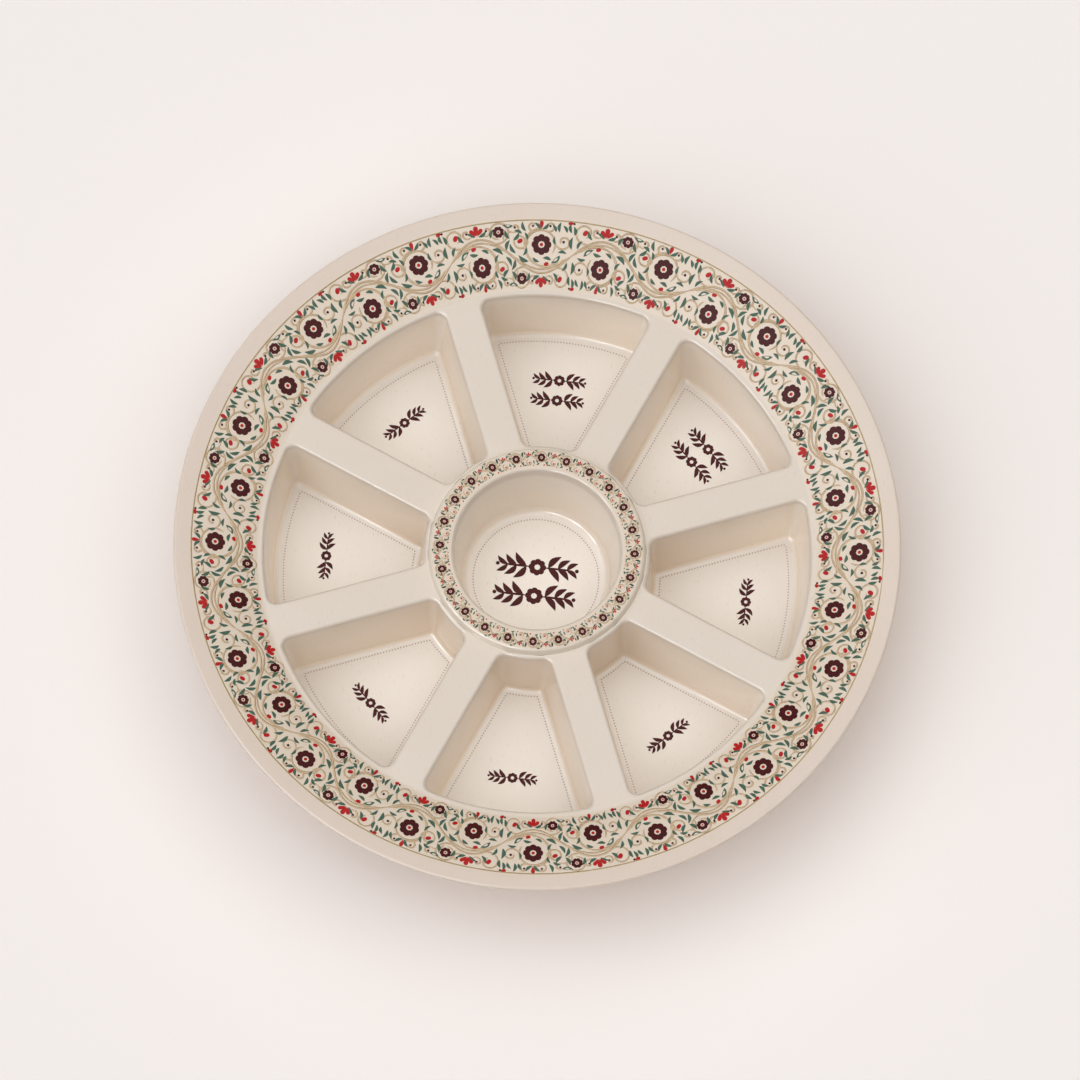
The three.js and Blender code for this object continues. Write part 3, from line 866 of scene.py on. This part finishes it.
# Colours as a screen shows them, 0 to 255
CREAM = (225, 211, 196)
RING_GROUND = (226, 207, 186)
# Painted light: the ring's shoulder is painted lighter than the deck, to take away the shade on its
# steep slope
SHOULDER_PAINTED_LIGHT = (236, 222, 205)
RIM_GROUND = (230, 212, 192)
LIP = (226, 208, 193)
FLECK = (205, 188, 165)
INKS = {"gold": (220, 190, 153), "line": (205, 178, 136), "green": (75, 104, 87),
        "red": (188, 31, 31), "maroon": (73, 13, 14)}
DOT_INK = (180, 155, 148)
BACKGROUND = (243, 237, 233)

# The upper face from its middle out: distance from the axis, and the colour there
FACE_COLOURS = (
    (CENTRE_OPENING_RADIUS, CREAM),
    (CENTRE_OPENING_RADIUS + 2, RING_GROUND),
    (RING_OUTER - 1, RING_GROUND),
    # painted light on the ring's shoulder
    (RING_OUTER - 0.2, SHOULDER_PAINTED_LIGHT),
    (RING_FOOT, SHOULDER_PAINTED_LIGHT),
    (RING_FOOT + 0.6, CREAM),
    (rim_start - 1, CREAM),
    (rim_start + 1, RIM_GROUND),
    (BAND_LINE_RADIUS, RIM_GROUND),
    (BAND_LINE_RADIUS + 0.5, LIP),
)
# Painted light on the walls and floors of the wells, in the same way, from the round well out: both
# are painted lighter than the deck, to make up for the shade that falls in the wells
WALL_PAINTED_LIGHT = (
    (CENTRE_OPENING_RADIUS, (240, 227, 211)),
    (OPENING_INNER, (231, 213, 192)),
    (OPENING_OUTER, (247, 234, 218)),
)
# Painted light on the floors: lightest at the wells' inner ends, to offset the shade the ring and
# inner walls cast there
FLOOR_PAINTED_LIGHT = (
    (CENTRE_OPENING_RADIUS, (244, 235, 225)),
    (OPENING_INNER, (245, 238, 229)),
    (OPENING_OUTER, (231, 222, 212)),
)
# Heights below which those colours are full and above which they are gone
WALL_LEVELS = (deck_top - 4, deck_top - 1)
FLOOR_LEVELS = (FLOOR_TOP + 0.1, FLOOR_TOP + 1)

# Noises: scale, detail, and the part of the noise over which its effect sets in
CLOUDS = (28, 4, 0.35, 0.7)
FIBRES = (900, 3, 0.62, 0.72)
SMEARS = (60, 3, 0.3, 0.75)
INK_COVER = (700, 3, 0.35, 0.75)
INK_SMEARS = (90, 2, 0.3, 0.7)
CLOUD_TINT = (0.985, 0.975, 0.96, 1) # what the clouds leave of red, green and blue
FIBRE_GRAIN = (1, 0.35, 1) # fibres lie along Y
FIBRE_STRENGTH = 0.3
PITTING_SCALE = 220
PITTING_DETAIL = 2
PITTING_STRENGTH = 0.04
PITTING_DEPTH = 0.0004

GLAZE_ROUGHNESS = (0.17, 0.24) # from the least to the most smeared
RIM_SATIN = 0.17 # how much rougher the printed rim is than the deck and the wells
MELAMINE_IOR = 1.56
INK_ROUGHNESS = (0.36, 0.45)
INK_GLOSS = 0.2
INK_AT_THICKEST = 0.8 # how much of an ink's lightness is left where it lies thickest


def linear(colour):
    """A screen colour as the light that a shader takes, by the sRGB curve."""
    shares = [value / 255 for value in colour]
    return (*((share / 12.92 if share <= 0.04045 else ((share + 0.055) / 1.055) ** 2.4)
              for share in shares), 1)


def grey(value):
    return (value, value, value, 1)


def new_material(name):
    material = bpy.data.materials.new(name)
    material.use_nodes = True
    nodes = material.node_tree.nodes
    return material, nodes, material.node_tree.links, nodes["Principled BSDF"]


def noise(nodes, links, scale, detail, grain=(1, 1, 1)):
    """Noise on object coordinates. A grain below 1 along an axis draws it out that way."""
    place = nodes.new("ShaderNodeTexCoord")
    mapping = nodes.new("ShaderNodeMapping")
    mapping.inputs["Scale"].default_value = grain
    texture = nodes.new("ShaderNodeTexNoise")
    texture.inputs["Scale"].default_value = scale
    texture.inputs["Detail"].default_value = detail
    links.new(place.outputs["Object"], mapping.inputs["Vector"])
    links.new(mapping.outputs["Vector"], texture.inputs["Vector"])
    return texture.outputs["Fac"]


def ramp(nodes, links, factor, stops):
    """A colour ramp through stops of position and colour."""
    node = nodes.new("ShaderNodeValToRGB")
    elements = node.color_ramp.elements
    while len(elements) < len(stops):
        elements.new(0.5)
    for element, (position, colour) in zip(elements, stops):
        element.position = position
        element.color = colour
    links.new(factor, node.inputs["Fac"])
    return node.outputs["Color"]


def mixed(nodes, links, factor, first, second, blend="MIX"):
    """Two colours mixed by a factor. Each may be a socket or a fixed value."""
    node = nodes.new("ShaderNodeMix")
    node.data_type = "RGBA"
    node.blend_type = blend
    inputs = (node.inputs[0], node.inputs[6], node.inputs[7])
    for socket, value in zip(inputs, (factor, first, second)):
        if isinstance(value, bpy.types.NodeSocket):
            links.new(value, socket)
        else:
            socket.default_value = value
    return node.outputs[2]


def uneven(nodes, links, numbers, low, high, grain=(1, 1, 1)):
    """A value that varies from low to high in the way of one of the noises above."""
    scale, detail, first, last = numbers
    return ramp(nodes, links, noise(nodes, links, scale, detail, grain),
                [(first, grey(low)), (last, grey(high))])


def from_axis(nodes, links):
    """Distance from the plate's axis, as a share of the plate's radius."""
    place = nodes.new("ShaderNodeTexCoord")
    flat = nodes.new("ShaderNodeVectorMath")
    flat.operation = "MULTIPLY"
    flat.inputs[1].default_value = (1, 1, 0)
    distance = nodes.new("ShaderNodeVectorMath")
    distance.operation = "LENGTH"
    share = nodes.new("ShaderNodeMath")
    share.operation = "DIVIDE"
    share.inputs[1].default_value = PLATE_RADIUS * MM
    links.new(place.outputs["Object"], flat.inputs[0])
    links.new(flat.outputs["Vector"], distance.inputs[0])
    links.new(distance.outputs["Value"], share.inputs[0])
    return share.outputs["Value"]


def above_table(nodes, links):
    """Height above the table, as a share of the deck's height."""
    place = nodes.new("ShaderNodeTexCoord")
    axes = nodes.new("ShaderNodeSeparateXYZ")
    share = nodes.new("ShaderNodeMath")
    share.operation = "DIVIDE"
    share.inputs[1].default_value = deck_top * MM
    links.new(place.outputs["Object"], axes.inputs["Vector"])
    links.new(axes.outputs["Z"], share.inputs[0])
    return share.outputs["Value"]


def colours_outward(nodes, links, distance, colours):
    """Colours that change with the distance from the axis."""
    return ramp(nodes, links, distance,
                [(radius / PLATE_RADIUS, linear(colour)) for radius, colour in colours])


def melamine():
    """Cream bamboo-fibre melamine: faint fibres and clouds under a satin glaze. The grounds of the
    printed foils are a tone apart from the deck; the ring's shoulder, the wells' walls and their
    floors are painted lighter than the deck, as painted light against the shade that falls on them,
    and the printed rim is somewhat rougher."""
    material, nodes, links, shader = new_material("cream_melamine")
    distance = from_axis(nodes, links)
    height = above_table(nodes, links)
    ground = colours_outward(nodes, links, distance, FACE_COLOURS)
    # Painted light: the walls below the deck, and then the floors, take their lighter painted tones
    for colours, (full, none) in ((WALL_PAINTED_LIGHT, WALL_LEVELS), (FLOOR_PAINTED_LIGHT, FLOOR_LEVELS)):
        painted_light_tone = colours_outward(nodes, links, distance, colours)
        cover = ramp(nodes, links, height, [(full / deck_top, grey(1)), (none / deck_top, grey(0))])
        ground = mixed(nodes, links, cover, ground, painted_light_tone)
    clouds = uneven(nodes, links, CLOUDS, 0, 1)
    fibres = uneven(nodes, links, FIBRES, 0, FIBRE_STRENGTH, FIBRE_GRAIN)
    clouded = mixed(nodes, links, clouds, ground, CLOUD_TINT, "MULTIPLY")
    links.new(mixed(nodes, links, fibres, clouded, linear(FLECK)), shader.inputs["Base Color"])
    smears = uneven(nodes, links, SMEARS, *GLAZE_ROUGHNESS)
    satin = ramp(nodes, links, distance, [((rim_start - 1) / PLATE_RADIUS, grey(0)),
                                          ((rim_start + 1) / PLATE_RADIUS, grey(RIM_SATIN))])
    links.new(mixed(nodes, links, 1.0, smears, satin, "ADD"), shader.inputs["Roughness"])
    bump = nodes.new("ShaderNodeBump")
    bump.inputs["Strength"].default_value = PITTING_STRENGTH
    bump.inputs["Distance"].default_value = PITTING_DEPTH
    links.new(noise(nodes, links, PITTING_SCALE, PITTING_DETAIL), bump.inputs["Height"])
    links.new(bump.outputs["Normal"], shader.inputs["Normal"])
    shader.inputs["IOR"].default_value = MELAMINE_IOR
    return material


def printing_ink(name, colour):
    """Printed ink under the glaze, with the uneven cover of a transfer print."""
    material, nodes, links, shader = new_material(name)
    cover = uneven(nodes, links, INK_COVER, 1, INK_AT_THICKEST)
    covered = mixed(nodes, links, 1.0, linear(colour), cover, "MULTIPLY")
    links.new(covered, shader.inputs["Base Color"])
    smears = uneven(nodes, links, INK_SMEARS, *INK_ROUGHNESS)
    links.new(smears, shader.inputs["Roughness"])
    shader.inputs["Specular IOR Level"].default_value = INK_GLOSS
    return material


def finish_piece(piece, material, slot, *cad_nodes):
    """Gives a piece its material, ties it to the plate and hides the frame's parts that it stands
    for. The slot is not used.
    """
    piece.data.materials.clear()
    piece.data.materials.append(material)
    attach(piece, "root")
    if cad_nodes:
        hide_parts(*cad_nodes)


# Studio

COOL_LIGHT = (0.895, 0.938, 1)
WARM_LIGHT = (1, 0.985, 0.955)
LIGHT_COLOUR = (0.97, 0.985, 1)

# Each sun: colour, strength, softness, tilt from straight above, and the direction it comes from,
# counterclockwise from the back, in degrees
SUNS = {
    "key_light": (COOL_LIGHT, 1.72, 82, 36, 128),
    "back_light": (WARM_LIGHT, 0.48, 50, 35, 0),
    "right_light": (WARM_LIGHT, 0.46, 50, 35, 270),
    "overhead_light": (WARM_LIGHT, 0.74, 90, 0, 0),
}
# Narrow lamps in a row at the front left, seen only as highlights on rounded edges and fillets
EDGE_SUNS = {
    "edge_light_front": (LIGHT_COLOUR, 0.85, 16, 56, 165),
    "edge_light_middle": (LIGHT_COLOUR, 1.15, 16, 56, 140),
    "edge_light_left": (LIGHT_COLOUR, 0.9, 16, 56, 115),
}
SUN_HEIGHT = 3 # metres above the plate, where the lamps are drawn
WORLD_STRENGTH = 0.05
STUDIO_FLOOR = (251, 243, 238)
STUDIO_FLOOR_SIZE = 80 # metres
STUDIO_FLOOR_DROP = 0.0003


def make_sun(name, colour, strength, softness, tilt, turn, spread=True):
    """A sun of some softness. Without spread it only shows in the gloss of surfaces."""
    bpy.ops.object.light_add(type="SUN", location=(0, 0, SUN_HEIGHT), rotation=(0, 0, 0))
    sun = bpy.context.object
    sun.name = name
    sun.visible_diffuse = spread
    sun.data.energy = strength
    sun.data.color = colour
    sun.data.angle = math.radians(softness)
    sun.rotation_euler = (Matrix.Rotation(math.radians(turn), 3, "Z")
                          @ Matrix.Rotation(math.radians(-tilt), 3, "X")).to_euler()


def make_world():
    """An even pale room, which the camera sees as the plain background."""
    world = bpy.data.worlds.new("studio")
    bpy.context.scene.world = world
    world.use_nodes = True
    nodes, links = world.node_tree.nodes, world.node_tree.links
    room = nodes["Background"]
    room.inputs["Color"].default_value = (*LIGHT_COLOUR, 1)
    room.inputs["Strength"].default_value = WORLD_STRENGTH
    seen = nodes.new("ShaderNodeBackground")
    seen.inputs["Color"].default_value = linear(BACKGROUND)
    rays = nodes.new("ShaderNodeLightPath")
    choice = nodes.new("ShaderNodeMixShader")
    links.new(rays.outputs["Is Camera Ray"], choice.inputs["Fac"])
    links.new(room.outputs["Background"], choice.inputs[1])
    links.new(seen.outputs["Background"], choice.inputs[2])
    links.new(choice.outputs["Shader"], nodes["World Output"].inputs["Surface"])


def make_floor():
    """A pale matt floor, just under the plate's feet."""
    bpy.ops.mesh.primitive_plane_add(size=STUDIO_FLOOR_SIZE, location=(0, 0, -STUDIO_FLOOR_DROP))
    floor = bpy.context.object
    floor.name = "floor"
    material, *_, shader = new_material("pale_floor")
    shader.inputs["Base Color"].default_value = linear(STUDIO_FLOOR)
    shader.inputs["Roughness"].default_value = 1
    shader.inputs["Specular IOR Level"].default_value = 0
    floor.data.materials.append(material)


bpy.context.scene.view_settings.view_transform = "Standard"
make_camera()
make_world()
make_floor()
for name, sun in SUNS.items():
    make_sun(name, *sun)
for name, sun in EDGE_SUNS.items():
    make_sun(name, *sun, spread=False)

finish_piece(make_dish(), melamine(), "dish", "plate_body")

# The gold lines of a border stand for its foil, and so does the dotted line of a well
motifs = make_motifs()
inks = {name: printing_ink(name + "_ink", colour) for name, colour in INKS.items()}
dot_ink = printing_ink("dot_ink", DOT_INK)
for pieces, node in ((band_pieces(motifs), "rim_band_foil"), (ring_pieces(motifs), "ring_foil")):
    for name, piece in pieces.items():
        to_metres(piece)
        finish_piece(piece, inks[name], "printed_foil", *([node] if name == "gold" else []))
marks = [(*pair, f"well_foil_{well + 1}") for well, pair in enumerate(well_print(motifs))]
marks.append((*centre_print(motifs), "centre_well_foil"))
for line, sprig, node in marks:
    to_metres(line)
    to_metres(sprig)
    finish_piece(line, dot_ink, "printed_foil", node)
    finish_piece(sprig, inks["maroon"], "printed_foil")
for motif in motifs.values():
    bpy.data.objects.remove(motif)
